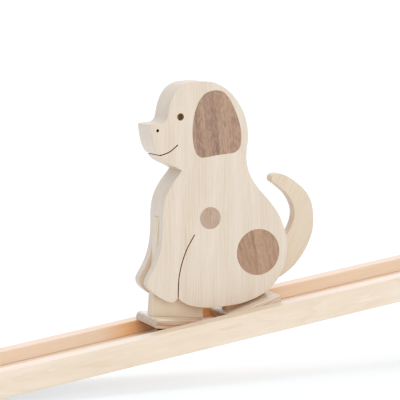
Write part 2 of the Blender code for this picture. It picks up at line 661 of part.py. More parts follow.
stand_frame = new_frame("stand_frame", None, (0, 0, 0), 0)
beam_frame = new_frame("beam_frame", stand_frame, (0, 0, PIVOT_HEIGHT), -TILT)
dog_frame = new_frame(
    "dog_frame", beam_frame, (-DOG_FROM_PIVOT, 0, FLOOR_TOP + AXLE_ABOVE_FLOOR), TILT
)
hinge_frame = new_frame("rear_leg_frame", dog_frame, (0, 0, 0), 0)
build_stand(stand_frame)
build_beam(beam_frame)
body_core = build_body(dog_frame)
build_front_leg(dog_frame, body_core)
build_rear_leg(hinge_frame)
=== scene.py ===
"""Looks of the walking-dog seesaw: every piece in pale or dark wood with its own grain, rubber and steel."""

import json
import math

import bmesh
import bpy
from mathutils import Matrix, Vector

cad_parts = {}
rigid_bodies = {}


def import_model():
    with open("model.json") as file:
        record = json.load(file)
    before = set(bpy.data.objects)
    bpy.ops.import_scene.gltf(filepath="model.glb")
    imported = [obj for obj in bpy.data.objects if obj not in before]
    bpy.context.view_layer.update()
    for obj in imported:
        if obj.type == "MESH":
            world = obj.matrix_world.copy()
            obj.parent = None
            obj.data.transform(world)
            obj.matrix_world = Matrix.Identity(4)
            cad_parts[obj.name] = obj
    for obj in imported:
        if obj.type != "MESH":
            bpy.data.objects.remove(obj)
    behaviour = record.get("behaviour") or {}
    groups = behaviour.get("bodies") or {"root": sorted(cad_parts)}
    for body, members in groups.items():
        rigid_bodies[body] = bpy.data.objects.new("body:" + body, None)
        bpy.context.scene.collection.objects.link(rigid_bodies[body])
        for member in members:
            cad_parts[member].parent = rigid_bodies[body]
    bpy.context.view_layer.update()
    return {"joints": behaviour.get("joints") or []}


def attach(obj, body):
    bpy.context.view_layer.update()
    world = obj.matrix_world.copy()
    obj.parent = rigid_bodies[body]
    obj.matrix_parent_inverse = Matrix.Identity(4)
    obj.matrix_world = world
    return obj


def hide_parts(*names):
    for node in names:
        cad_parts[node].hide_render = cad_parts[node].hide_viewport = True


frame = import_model()

MM = 0.001
SEAM = 0.04 * MM  # left round inlays and dowel ends, so that a fine line shows
DRAWN_IN = 0.06 * MM  # taken off the largest shapes, since smooth curves bulge past the CAD's facets
REST_GAP = 0.05 * MM  # left under a piece that rests on another
RUNNING_GAP = 0.1 * MM  # left round an axle that turns
CUT_PAST = 5 * MM  # how far a cutter reaches past the face that it opens
TOUCHING = 1e-6  # metres within which a point counts as on a plane

# Sizes repeated from the CAD model, in metres
BEAM_LENGTH = 800 * MM
PIVOT_DROP = 12 * MM
RAIL_THICKNESS = 12 * MM
RAIL_HEIGHT = 17.2 * MM
RAIL_ROUND = 0.8 * MM
RAIL_FOOT_ROUND = (1.2 * MM, 0.8 * MM)  # outer, inner
CHANNEL_WIDTH = 42 * MM
CHANNEL_DEPTH = 9.1 * MM
FLOOR_THICKNESS = 5 * MM
GROOVE_DEPTH = 3 * MM
GROOVE_PLAY = 0.3 * MM
END_BLOCK_LENGTH = 12 * MM
END_BLOCK_RISE = 5 * MM
END_BLOCK_ROUND = 3.5 * MM
END_BLOCK_SIDE_PLAY = 0.1 * MM
END_DOWEL_RADIUS = 2.5 * MM
END_DOWEL_ABOVE_MIDDLE = 0.2 * MM
RAIL_TOP = PIVOT_DROP + RAIL_HEIGHT
FLOOR_TOP = RAIL_TOP - CHANNEL_DEPTH
FLOOR_BOTTOM = FLOOR_TOP - FLOOR_THICKNESS
AXLE_RADIUS = 5 * MM
PIVOT_BLOCK = (48 * MM, 34 * MM)
PIVOT_BLOCK_ROUND = 9 * MM
PIVOT_BLOCK_BELOW_AXIS = 11 * MM
BLOCK_DOWEL_RADIUS = 2.5 * MM
BLOCK_DOWEL_OFFSET = 16 * MM
BLOCK_DOWEL_FOOT = -6 * MM
BASE_SIZE = (80 * MM, 70 * MM, 12 * MM)
BASE_CORNER_ROUND = 8 * MM
CHEEK_THICKNESS = 10 * MM
CHEEK_SIDE_PLAY = 1.2 * MM
CHEEK_FOOT = 50 * MM
CHEEK_ABOVE_AXIS = 10.5 * MM
CHEEK_SHOULDER = 8 * MM  # height of its upright edges
CHEEK_SHOULDER_ROUND = 4 * MM
CHEEK_TOP_HALF = 11.5 * MM
CHEEK_TOP_ROUND = 9.5 * MM
AXLE_OVERHANG = 1.5 * MM
SCREW_OFFSET = 16 * MM
SCREW_SHANK = 1.7 * MM
SCREW_HEAD = 3.5 * MM
SCREW_LENGTH = 28 * MM
SCREW_SUNK = 0.6 * MM
SCREW_POINT = 4 * MM
SCREW_RIM = (-0.3 * MM, -0.2 * MM)  # heights between which the head's rim is chamfered
SCREW_CHAMFER = 0.1 * MM
SCREW_SLOT = (2.2 * MM, 0.35 * MM, 1.2 * MM)  # half its length, half its width, its depth
SCREW_SLOT_FROM = -2 * MM  # below the head, so that each slot is open there
SCREW_SLOT_TURNS = (20, 110)  # degrees
BODY_HALF = 12 * MM
SLOT_HALF = 4.4 * MM
LAYER_HALF = 4.1 * MM
SHOULDER_RADIUS = 7.5 * MM
HAUNCH_CENTRE = (35.4 * MM, -24.9 * MM)
HAUNCH_RADIUS = 15.85 * MM
INLAY_THICKNESS = 3 * MM
EYE = (-21.5 * MM, 68.6 * MM, 2.5 * MM, 6 * MM)
NOSTRIL = (-37.8 * MM, 59.9 * MM, 1.1 * MM, 5 * MM)
KERF_WIDTH = 0.9 * MM
SMALL_DOWEL_RADIUS = 2 * MM
FRONT_PITCH = math.radians(5.6)
REAR_PITCH = math.radians(-19)
FRONT_SOLE_DROP = 68.85 * MM
REAR_SOLE_DROP = 66.8 * MM
BODY_EDGE_ROUND = 1.2 * MM
SOLE_TOE_ROUND = (1 * MM, 3.2 * MM)  # bottom, top
SOLE_HEEL_ROUND = (1.6 * MM, 0.6 * MM)
FRONT_SOLE_SPAN = (-35.2 * MM, 5.4 * MM)
REAR_SOLE_SPAN = (-10.4 * MM, 28.4 * MM)
FRONT_PAD_SPAN = (-33 * MM, 0 * MM)
REAR_PAD_SPAN = (0 * MM, 24 * MM)
SOLE_WIDTH = 38 * MM
SOLE_THICKNESS = 6.2 * MM
PAD_WIDTH = 35 * MM
PAD_THICKNESS = 0.8 * MM
PAD_GAP = 0.3 * MM
PAD_GLUE = 0.02 * MM  # between a pad and its sole
PAD_CORNER_ROUND = 2 * MM
FRONT_DOWELS = (-24 * MM, -6 * MM)
REAR_DOWELS = (1 * MM, 16 * MM)
SOLE_DOWEL_RISE = 10 * MM

# How far the edges of each kind of piece are rounded
RAIL_END_EDGE = 0.4 * MM
BLOCK_EDGE = 0.6 * MM
BASE_EDGE = 1.2 * MM
CHEEK_EDGE = 0.8 * MM
AXLE_EDGE = 0.6 * MM
END_DOWEL_EDGE = 0.15 * MM
LEG_EDGE = 0.25 * MM
TAIL_EDGE = 0.9 * MM
SOLE_EDGE = 0.8 * MM
PAD_EDGE = 0.15 * MM
SHARP_ANGLE = math.radians(34)  # creases steeper than this stay sharp in the shading
BEVEL_ANGLE = math.radians(40)  # edges steeper than this are rounded

# Outlines repeated from the CAD model, in millimetres along X and Z from the shoulder dowel
BACK = [
    (-43, 62.6), (-42.2, 63.7), (-38, 64.2), (-33.4, 65), (-31.2, 67.2), (-30.2, 71.5), (-28.6, 78),
    (-24.6, 85.6), (-18.5, 90.2), (-8, 91.8), (3, 90.9), (12.6, 85.9), (19.4, 78.9), (24.6, 70.2),
    (27.4, 59.5), (27.6, 52), (26.7, 44), (26.8, 37), (29.2, 28.4), (35, 19.5), (43.4, 10.2),
    (50.3, 1.2), (54.6, -8), (57, -17), (57.3, -25.5), (55.4, -34.5), (51.4, -42.8), (45.4, -49.8),
    (37, -55), (25.5, -58.9), (10, -60.8), (-5, -60.7), (-15.5, -58.3), (-21, -55.4), (-23.4, -52.6),
]
CHEST = [
    (-23.4, -52.6), (-25.2, -54.9), (-28, -55.7), (-33, -54), (-39.6, -49.7), (-44.2, -45.2),
    (-45.2, -41.2), (-43.6, -37.4), (-40.3, -31.8), (-37, -24), (-35, -15), (-34.3, -5), (-34.2, 3),
    (-33.2, 11), (-31, 17.8), (-27, 24.4), (-22.5, 30), (-20.4, 32.8),
]
JAW = [
    (-20.4, 32.8), (-24, 34.9), (-29.5, 37.4), (-33.6, 40), (-36.4, 43.4), (-38.6, 46), (-40.4, 49.6),
    (-41.8, 55), (-42.6, 60), (-43, 62.6),
]
EAR = [
    (3.5, 86), (9.2, 84.8), (13.8, 80), (17.8, 72.8), (20.5, 66), (22.3, 58.8), (22.6, 52.5),
    (21.4, 46.8), (18, 43.8), (12.6, 43), (4.8, 42.3), (-2.5, 41.2), (-6.6, 41.1), (-9.8, 43.4),
    (-12, 49), (-12.9, 56), (-12.8, 62), (-11.4, 70.4), (-8, 79), (-3, 84.2), (3.5, 86),
]
MOUTH = [(-48, 43), (-42, 43.1), (-37.8, 43.3), (-35.6, 43.5), (-29.3, 45.6), (-23.3, 50.1)]
LEG_LINE = [(-11.4, -10.6), (-17.2, -20.6), (-20.6, -29.6), (-22.7, -39), (-23.4, -52.6), (-23.4, -60)]
TAIL = [
    (47.5, -47), (55, -44.6), (61, -41.2), (68.4, -35), (75.8, -24.8), (80.3, -13.6), (81.1, -3.5),
    (79.1, 7.4), (74.2, 15.4), (67.2, 21.3), (59.5, 26), (53, 27.6), (49.4, 26.2), (48.9, 22.9),
    (53.3, 19.4), (60.3, 13.4), (64.5, 7.2), (66.3, 1), (65.6, -5.4), (60.4, -15), (50.8, -19.6),
]
CORE_FOOT = 1.6
CORE_BACK = (50.6, 0)  # where the core's cut-out meets its back
CORE_BACK_FROM = 0.5  # height from which the core follows the sides' back
LEG_TOP = 1.3
FRONT_LEG_CHEST = -34.3
FRONT_LEG_TOE = -33
FRONT_LEG_HEEL = 4.8
REAR_LEG_TOE = -6.6
REAR_LEG_HEEL = 23.5
REAR_LEG_BACK = (50.5, -19.6)
REAR_LEG_BACK_FOOT = (47.2, -47)
HUB_RADIUS = 13
HUB_START = -16  # degrees
HEEL_OVERRUN = 1  # degrees past the heel at which the front leg's arc starts
NOTCH_RADIUS = 13.6
LEG_SHORT = 0.02  # legs end this far above their soles

# Frames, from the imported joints
joints = {joint["name"]: joint for joint in frame["joints"]}
slope = joints["dog_travel"]["axis"]
TILT = math.atan2(-slope[2], -slope[0])
PIVOT = Vector(joints["beam_tilt"]["pos_m"])
AXLE = Vector(joints["rear_leg_swing"]["pos_m"])
STAND = Matrix.Identity(4)
BEAM = Matrix.Translation(PIVOT) @ Matrix.Rotation(-TILT, 4, "Y")
DOG = Matrix.Translation(AXLE)
FRONT_FOOT = DOG @ Matrix.Rotation(FRONT_PITCH, 4, "Y")
REAR_FOOT = DOG @ Matrix.Rotation(REAR_PITCH, 4, "Y")

XZ = Matrix(((1, 0, 0, 0), (0, 0, -1, 0), (0, 1, 0, 0), (0, 0, 0, 1)))  # outline stands up, facing -Y
YZ = Matrix(((0, 0, 1, 0), (1, 0, 0, 0), (0, 1, 0, 0), (0, 0, 0, 1)))  # outline faces +X
XY = Matrix.Identity(4)


# ---------------------------------------------------------------- outlines

def smooth_run(points, steps=9):
    """Points of a centripetal Catmull-Rom curve through the given ones."""
    first = tuple(2 * a - b for a, b in zip(points[0], points[1]))
    last = tuple(2 * a - b for a, b in zip(points[-1], points[-2]))
    padded = [Vector(point) for point in (first, *points, last)]
    run = []
    for a, b, c, d in zip(padded, padded[1:], padded[2:], padded[3:]):
        t1 = math.sqrt((b - a).length)
        t2 = t1 + math.sqrt((c - b).length)
        t3 = t2 + math.sqrt((d - c).length)
        for step in range(steps):
            t = t1 + (t2 - t1) * step / steps
            ab = a.lerp(b, t / t1)
            bc = b.lerp(c, (t - t1) / (t2 - t1))
            cd = c.lerp(d, (t - t2) / (t3 - t2))
            abc = ab.lerp(bc, t / t2)
            bcd = bc.lerp(cd, (t - t1) / (t3 - t1))
            run.append(tuple(abc.lerp(bcd, (t - t1) / (t2 - t1))))
    return run + [tuple(points[-1])]


def arc(radius, start, end, steps, centre=(0, 0)):
    """Points of an arc from one angle to another, in degrees."""
    angles = [math.radians(start + (end - start) * step / steps) for step in range(steps + 1)]
    return [(centre[0] + radius * math.cos(a), centre[1] + radius * math.sin(a)) for a in angles]


def rounded(corners, steps=6):
    """A polygon given as (x, z, radius), each corner rounded to its radius."""
    outline = []
    for index, (x, z, radius) in enumerate(corners):
        corner = Vector((x, z))
        before = (Vector(corners[index - 1][:2]) - corner).normalized()
        after = (Vector(corners[(index + 1) % len(corners)][:2]) - corner).normalized()
        if radius == 0:
            outline.append((x, z))
            continue
        half = before.angle(after) / 2
        centre = corner + (before + after).normalized() * radius / math.sin(half)
        reach = radius / math.tan(half)
        start = corner + before * reach - centre
        turn = start.angle_signed(corner + after * reach - centre)
        for step in range(steps + 1):
            outline.append(tuple(centre + Matrix.Rotation(-turn * step / steps, 2) @ start))
    return outline


def offset(outline, distance):
    """A closed, smooth outline moved outwards by a distance."""
    area = sum(a[0] * b[1] - b[0] * a[1] for a, b in zip(outline, outline[1:] + outline[:1]))
    side = distance if area > 0 else -distance
    moved = []
    for index, point in enumerate(outline):
        along = Vector(outline[(index + 1) % len(outline)]) - Vector(outline[index - 1])
        normal = Vector((along.y, -along.x)).normalized()
        moved.append(tuple(Vector(point) + normal * side))
    return moved


def ribbon(path, width):
    """The outline of a saw cut of a given width along a path."""
    one_side, other_side = [], []
    for index, point in enumerate(path):
        along = Vector(path[min(index + 1, len(path) - 1)]) - Vector(path[max(index - 1, 0)])
        normal = Vector((along.y, -along.x)).normalized() * width / 2
        one_side.append(tuple(Vector(point) + normal))
        other_side.append(tuple(Vector(point) - normal))
    return one_side + other_side[::-1]


def from_foot(pitch, along, below):
    """A point given in a foot's level frame as the dog's X and Z."""
    return (
        along * math.cos(pitch) - below * math.sin(pitch),
        -along * math.sin(pitch) - below * math.cos(pitch),
    )


def scaled(outline):
    """An outline in metres from one in millimetres."""
    return [(x * MM, z * MM) for x, z in outline]


def slab(low, high, foot, top, foot_round=0, top_round=0, steps=6):
    """A rectangle with its two lower corners and its two upper ones rounded."""
    return rounded([
        (low, foot, foot_round), (high, foot, foot_round), (high, top, top_round), (low, top, top_round),
    ], steps)


# ---------------------------------------------------------------- materials

class Graph:
    """Short ways to add and join shader nodes."""

    def __init__(self, name):
        self.material = bpy.data.materials.new(name)
        self.material.use_nodes = True
        self.tree = self.material.node_tree
        self.shader = self.tree.nodes["Principled BSDF"]

    def node(self, kind, settings=(), **inputs):
        made = self.tree.nodes.new(kind)
        for name, value in dict(settings).items():
            setattr(made, name, value)
        for name, value in inputs.items():
            self.feed(made.inputs[int(name[1:]) if name[1:].isdigit() else name.replace("_", " ")], value)
        return made

    def feed(self, socket, value):
        if isinstance(value, bpy.types.NodeSocket):
            self.tree.links.new(value, socket)
        else:
            socket.default_value = value

    def math(self, operation, a, b=0.0, c=0.0, clamp=False):
        made = self.node("ShaderNodeMath", {"operation": operation, "use_clamp": clamp}, i0=a, i1=b, i2=c)
        return made.outputs[0]

    def ramp(self, value, low, high, start=0.0, end=1.0):
        """Smooth step from start to end as value goes from low to high."""
        made = self.node("ShaderNodeMapRange", {"interpolation_type": "SMOOTHSTEP"},
                         i0=value, i1=low, i2=high, i3=start, i4=end)
        return made.outputs[0]

    def noise(self, vector, scale, detail=2.0, roughness=0.5):
        made = self.node("ShaderNodeTexNoise", Vector=vector, Scale=scale, Detail=detail, Roughness=roughness)
        return made.outputs["Fac"]

    def swing(self, noise, amount, value):
        """Value with a noise added, which swings either side of nought, times amount."""
        return self.math("MULTIPLY_ADD", self.math("SUBTRACT", noise, 0.5), amount, value)

    def stretched(self, vector, scale):
        made = self.node("ShaderNodeVectorMath", {"operation": "MULTIPLY"}, i0=vector, i1=scale)
        return made.outputs[0]

    def framed(self, vector, origin, turn):
        """A place given in millimetres in a turned frame."""
        made = self.node("ShaderNodeMapping", {"vector_type": "TEXTURE"}, Vector=vector,
                         Location=origin, Rotation=turn, Scale=(MM, MM, MM))
        return made.outputs[0]

    def relief(self, height, strength, depth):
        bump = self.node("ShaderNodeBump", Strength=strength, Distance=depth, Height=height)
        self.feed(self.shader.inputs["Normal"], bump.outputs[0])

    def mix(self, factor, a, b, blend="MIX"):
        made = self.node("ShaderNodeMix", {"data_type": "RGBA", "blend_type": blend}, i0=factor)
        self.feed(made.inputs[6], a)
        self.feed(made.inputs[7], b)
        return made.outputs[2]


def rgba(colour):
    """Linear colour from an sRGB one given as 0-255."""
    def linear(value):
        value /= 255
        return value / 12.92 if value <= 0.04045 else ((value + 0.055) / 1.055) ** 2.4
    return (*(linear(value) for value in colour), 1.0)


# Painted shade: a deep orange tint on the channel's floor and far wall round the dog's feet at rest, for the
# dog's shade and the warm light bounced there.
AXLE_ABOVE_CHANNEL = 74.2 * MM
SHADE_PATCH_REACH = (44, 72)  # millimetres either side of the dog's axle, between which the tint fades
SHADE_PATCH_WALL = (21.3, 22.0)  # millimetres across the channel, between which it stops at the rail
SHADE_PATCH_FOOT = (-1.0, -0.4)  # millimetres above the channel's floor, between which it begins
SHADE_PATCH_TOP = (8.0, 9.0)  # and between which it ends
SHADE_PATCH_TINT = (1.0, 0.70, 0.45, 1)
BASE_SHARE = 0.3  # step towards the dark colour that plain wood starts from
BAND_SOFTNESS = (1.2, 0.6)  # how far a band's edge reaches outside and inside it, in millimetres


def wood(name, light, dark, turn=(0, 0, 0), origin=(0, 0, 0), pith=(30, 60), spacing=2.2, rings=0.3,
         fibres=0.35, tone=0.5, flecks=0.25, warp=2.5, rough=0.4, shine=0.6, bump=0.25, end_colour=None,
         end_share=0.14, bands=(), streaks=0.12, streak_scale=(0.11, 0.7, 0.7), shade_patch=False):
    """Wood with its grain along the board's X.

    turn and origin place the board's frame. pith is the tree's centre across the board and spacing the
    width of a year's ring, in millimetres, and warp is how much the rings wander. rings, fibres, tone,
    flecks and streaks are shares of the step from the light colour to the dark one, and streak_scale
    is how fine the streaks are along and across the board. bands are darker stripes, each (place across
    the board, width, strength). Where the grain ends at the surface, end_share of end_colour comes in,
    speckled by the pores. rough is the roughness, and shine is how strongly the surface reflects.
    With the patch turned on, the wood has a deep orange patch of painted shade inside the channel, round the
    dog's feet where the dog stands at rest, for its shade and the warm light bounced there.
    """
    g = Graph(name)
    spot = g.node("ShaderNodeTexCoord")
    board = g.framed(spot.outputs["Object"], origin, turn)
    sway = g.noise(g.stretched(board, (0.012, 0.05, 0.05)), 1.0, 2.0)
    ripple = g.noise(g.stretched(board, (0.05, 0.35, 0.35)), 1.0, 2.0)
    apart = g.node("ShaderNodeSeparateXYZ", Vector=board)
    across_y = g.math("SUBTRACT", apart.outputs[1], pith[0])
    across_z = g.math("SUBTRACT", apart.outputs[2], pith[1])
    radius = g.math("SQRT", g.math("ADD", g.math("MULTIPLY", across_y, across_y),
                                   g.math("MULTIPLY", across_z, across_z)))
    radius = g.swing(sway, warp * 4, radius)
    radius = g.swing(ripple, warp * 0.5, radius)
    turn_of_ring = g.math("FRACT", g.math("DIVIDE", radius, spacing))
    late = g.math("MULTIPLY", g.ramp(turn_of_ring, 0.25, 0.92), g.ramp(turn_of_ring, 0.93, 1.0, 1.0, 0.0))
    ring_share = g.noise(g.stretched(board, (0.02, 0.12, 0.12)), 1.0, 1.0)
    late = g.math("MULTIPLY", late, g.ramp(ring_share, 0.3, 0.7, 0.25, 1.0))
    fine = g.noise(g.stretched(board, (0.05, 2.6, 2.6)), 1.0, 4.0, 0.62)
    broad = g.noise(g.stretched(board, (0.01, 0.11, 0.11)), 1.0, 2.0, 0.55)
    dash = g.noise(g.stretched(board, (0.32, 3.4, 3.4)), 1.0, 2.0, 0.6)
    dash = g.ramp(dash, 0.6, 0.78)
    coarse = g.noise(g.stretched(board, streak_scale), 1.0, 3.0, 0.65)

    share = g.math("MULTIPLY", late, rings)
    share = g.swing(fine, fibres * 2, share)
    share = g.swing(broad, tone * 2, share)
    share = g.math("MULTIPLY_ADD", dash, flecks, share)
    share = g.swing(coarse, streaks * 2, share)
    outside, inside = BAND_SOFTNESS
    for place, width, strength in bands:
        swayed = g.swing(fine, 2.0, g.swing(sway, 12.0, apart.outputs[2]))
        rise = g.ramp(swayed, place - width / 2 - outside, place - width / 2 + inside)
        fall = g.ramp(swayed, place + width / 2 - inside, place + width / 2 + outside, 1.0, 0.0)
        share = g.math("MULTIPLY_ADD", g.math("MULTIPLY", rise, fall), strength, share)
    share = g.math("ADD", share, BASE_SHARE, clamp=True)
    colour = g.mix(share, rgba(light), rgba(dark))
    # Painted shade round the dog's feet, fixed to the beam
    if shade_patch:
        stance = g.framed(spot.outputs["Object"], AXLE - Vector((0, 0, AXLE_ABOVE_CHANNEL)), turn)
        along, across, above = g.node("ShaderNodeSeparateXYZ", Vector=stance).outputs
        within = g.math("MULTIPLY", g.ramp(across, *SHADE_PATCH_WALL, 1.0, 0.0), g.ramp(above, *SHADE_PATCH_FOOT))
        within = g.math("MULTIPLY", g.ramp(above, *SHADE_PATCH_TOP, 1.0, 0.0), within)
        near = g.ramp(g.math("ABSOLUTE", along), *SHADE_PATCH_REACH, 1.0, 0.0)
        colour = g.mix(g.math("MULTIPLY", near, within), colour, SHADE_PATCH_TINT, "MULTIPLY")

    facing = g.node("ShaderNodeMapping", {"vector_type": "TEXTURE"}, Vector=spot.outputs["Normal"],
                    Rotation=turn).outputs[0]
    facing = g.node("ShaderNodeSeparateXYZ", Vector=facing).outputs[0]
    end = g.ramp(g.math("ABSOLUTE", facing), 0.35, 1.0)
    pores = g.noise(g.stretched(board, (0.4, 1.1, 1.1)), 1.0, 3.0, 0.7)
    end_grain = g.mix(g.ramp(pores, 0.42, 0.58), rgba(end_colour or dark), rgba(dark))
    g.feed(g.shader.inputs["Base Color"], g.mix(g.math("MULTIPLY", end, end_share), colour, end_grain))

    roughness = g.math("MULTIPLY_ADD", end, 0.12, g.swing(fine, 0.25, rough), clamp=True)
    g.feed(g.shader.inputs["Roughness"], roughness)
    height = g.math("MULTIPLY_ADD", late, 0.3, g.math("MULTIPLY_ADD", dash, -0.6, fine))
    g.relief(height, bump, 0.05 * MM)
    g.shader.inputs["Specular IOR Level"].default_value = shine
    return g.material


def drilled(name, light, dark):
    """Rough wall of a drilled hole or a saw cut, darkened in uneven patches as painted shade."""
    g = Graph(name)
    spot = g.node("ShaderNodeTexCoord").outputs["Object"]
    shade_patches = g.noise(g.stretched(spot, (900, 900, 900)), 1.0, 3.0, 0.6)
    tool = g.noise(g.stretched(spot, (300, 6000, 300)), 1.0, 2.0)
    share = g.math("ADD", g.math("MULTIPLY", shade_patches, 0.7), g.math("MULTIPLY", tool, 0.3))
    g.feed(g.shader.inputs["Base Color"], g.mix(g.ramp(share, 0.3, 0.7), rgba(light), rgba(dark)))
    g.feed(g.shader.inputs["Roughness"], g.ramp(tool, 0.2, 0.8, 0.75, 0.95))
    g.relief(tool, 0.4, 0.05 * MM)
    return g.material


def rubber(name, light, dusty):
    """Pebbled rubber with dust on it in patches."""
    g = Graph(name)
    spot = g.node("ShaderNodeTexCoord").outputs["Object"]
    pebble = g.node("ShaderNodeTexVoronoi", Vector=spot, Scale=1600.0).outputs["Distance"]
    dust = g.noise(spot, 90.0, 4.0)
    g.feed(g.shader.inputs["Base Color"], g.mix(g.ramp(dust, 0.45, 0.75), rgba(light), rgba(dusty)))
    g.feed(g.shader.inputs["Roughness"], g.ramp(dust, 0.2, 0.8, 0.62, 0.88))
    g.relief(pebble, 0.5, 0.08 * MM)
    return g.material


def steel(name, light, dull):
    """Plated steel, clouded and finely scratched."""
    g = Graph(name)
    spot = g.node("ShaderNodeTexCoord").outputs["Object"]
    cloud = g.noise(spot, 700.0, 3.0)
    scratch = g.noise(g.stretched(spot, (9000, 9000, 400)), 1.0, 2.0)
    g.feed(g.shader.inputs["Base Color"], g.mix(g.ramp(cloud, 0.3, 0.7), rgba(light), rgba(dull)))
    g.feed(g.shader.inputs["Roughness"], g.ramp(cloud, 0.3, 0.7, 0.28, 0.42))
    g.relief(scratch, 0.2, 0.02 * MM)
    g.shader.inputs["Metallic"].default_value = 1.0
    return g.material


# ---------------------------------------------------------------- building

HELPERS = bpy.data.collections.new("helpers")
bpy.context.scene.collection.children.link(HELPERS)


def put(name, data):
    """A new object in the scene."""
    obj = bpy.data.objects.new(name, data)
    bpy.context.scene.collection.objects.link(obj)
    return obj


def prism(outline, low, high, plane, place):
    """Mesh of an outline, in metres, given the thickness from low to high, with whole faces at its ends."""
    if sum(a[0] * b[1] - b[0] * a[1] for a, b in zip(outline, outline[1:] + outline[:1])) < 0:
        outline = outline[::-1]
    if plane is XZ:
        low, high = -high, -low
    shape = bmesh.new()
    lower = [shape.verts.new((x, y, low)) for x, y in outline]
    upper = [shape.verts.new((x, y, high)) for x, y in outline]
    shape.faces.new(lower[::-1])
    shape.faces.new(upper)
    for index in range(len(outline)):
        after = (index + 1) % len(outline)
        shape.faces.new((lower[index], lower[after], upper[after], upper[index]))
    shape.transform(place @ plane)
    mesh = bpy.data.meshes.new("prism")
    shape.to_mesh(mesh)
    shape.free()
    return mesh


def bar(radius, low, high, place, across="Y", at=(0, 0), segments=48, edge=0.0):
    """Mesh of a round bar along an axis, at two coordinates square to it, its ends rounded by edge."""
    profile = [(0, low), (radius - edge, low)]
    if edge:
        angles = (math.radians(30), math.radians(60))
        profile += [(radius - edge + edge * math.sin(a), low + edge - edge * math.cos(a)) for a in angles]
        profile += [(radius, low + edge), (radius, high - edge)]
        profile += [(radius - edge + edge * math.cos(a), high - edge + edge * math.sin(a)) for a in angles]
    else:
        profile += [(radius, high)]
    profile += [(radius - edge, high), (0, high)]
    turns = {
        "X": Matrix.Translation((0, at[0], at[1])) @ Matrix.Rotation(math.pi / 2, 4, "Y"),
        "Y": Matrix.Translation((at[0], 0, at[1])) @ Matrix.Rotation(-math.pi / 2, 4, "X"),
        "Z": Matrix.Translation((at[0], at[1], 0)),
    }
    return lathe(profile, place @ turns[across], segments)


def lathe(profile, place, segments=48):
    """Mesh turned about Z from (radius, height) points, listed from bottom to top."""
    shape = bmesh.new()
    rows = []
    for radius, height in profile:
        if radius == 0:
            rows.append([shape.verts.new((0, 0, height))])
            continue
        angles = [2 * math.pi * step / segments for step in range(segments)]
        rows.append([shape.verts.new((radius * math.cos(a), radius * math.sin(a), height)) for a in angles])
    for below, above in zip(rows, rows[1:]):
        for step in range(segments):
            after = (step + 1) % segments
            if len(below) == 1:
                shape.faces.new((below[0], above[after], above[step]))
            elif len(above) == 1:
                shape.faces.new((below[step], below[after], above[0]))
            else:
                shape.faces.new((below[step], below[after], above[after], above[step]))
    shape.transform(place)
    bmesh.ops.recalc_face_normals(shape, faces=shape.faces)
    mesh = bpy.data.meshes.new("lathe")
    shape.to_mesh(mesh)
    shape.free()
    return mesh


def cutter(mesh, wall):
    """A shape to cut away, which leaves its own material on the walls of the cut."""
    obj = bpy.data.objects.new("cutter", mesh)
    HELPERS.objects.link(obj)
    obj.hide_render = True
    mesh.materials.append(wall)
    return obj


def round_edges(obj, width, chosen=None):
    """Bevel on sharp edges, or on those whose two ends chosen accepts."""
    modifier = obj.modifiers.new("rounded edges", "BEVEL")
    modifier.width = width
    modifier.segments = 4
    modifier.limit_method = "WEIGHT" if chosen else "ANGLE"
    modifier.angle_limit = BEVEL_ANGLE
    if chosen:
        mesh = obj.data
        weights = mesh.attributes.new("bevel_weight_edge", "FLOAT", "EDGE")
        for edge in mesh.edges:
            a, b = (mesh.vertices[index].co for index in edge.vertices)
            weights.data[edge.index].value = 1.0 if chosen(a, b) else 0.0


def piece(name, nodes, body, mesh, material, edge=None, chosen=None, cutters=()):
    """A finished piece in place of CAD nodes: rounded, cut, smoothed and put on its body."""
    obj = put(name, mesh)
    mesh.materials.append(material)
    if edge:
        round_edges(obj, edge, chosen)
    for tool in cutters:
        modifier = obj.modifiers.new("cut", "BOOLEAN")
        modifier.operation = "DIFFERENCE"
        modifier.object = tool
        modifier.material_mode = "TRANSFER"
    graph = bpy.context.evaluated_depsgraph_get()
    final = bpy.data.meshes.new_from_object(obj.evaluated_get(graph))
    obj.modifiers.clear()
    obj.data = final
    final.name = name
    final.shade_smooth()
    final.set_sharp_from_angle(angle=SHARP_ANGLE)
    weighted = obj.modifiers.new("flat faces stay flat", "WEIGHTED_NORMAL")
    weighted.keep_sharp = True
    weighted.weight = 90
    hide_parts(*nodes)
    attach(obj, body)


# ---------------------------------------------------------------- wood of each piece

GRAIN_UP = (0, -math.pi / 2, 0)  # board's X runs up
GRAIN_ACROSS = (0, 0, math.pi / 2)  # board's X runs along +Y
GRAIN_ALONG_BEAM = (0, -TILT, 0)

MAPLE_LIGHT, MAPLE_DARK = (214, 190, 166), (188, 157, 127)
LEG_LIGHT, LEG_DARK = (219, 192, 160), (196, 163, 127)
maple_near = wood("maple_near_side", MAPLE_LIGHT, MAPLE_DARK, GRAIN_UP, AXLE, pith=(30, 110),
                  rings=0.3, fibres=0.5, tone=0.6, flecks=0.25, streaks=0.3)
maple_far = wood("maple_far_side", MAPLE_LIGHT, MAPLE_DARK, GRAIN_UP, AXLE + Vector((0.03, 0.2, 0.1)),
                 pith=(-30, -130), rings=0.16, fibres=0.22, tone=0.3, flecks=0.12)
maple_core = wood("maple_core", MAPLE_LIGHT, MAPLE_DARK, GRAIN_UP, AXLE + Vector((0.2, 0.1, 0.4)),
                  pith=(40, 90), rings=0.2, fibres=0.3, tone=0.3, flecks=0.12)
maple_leg = wood("maple_legs", LEG_LIGHT, LEG_DARK, GRAIN_UP, AXLE + Vector((0.5, 0.1, 0.2)),
                 pith=(40, 70), rings=0.3, fibres=0.3, tone=0.3, flecks=0.15)
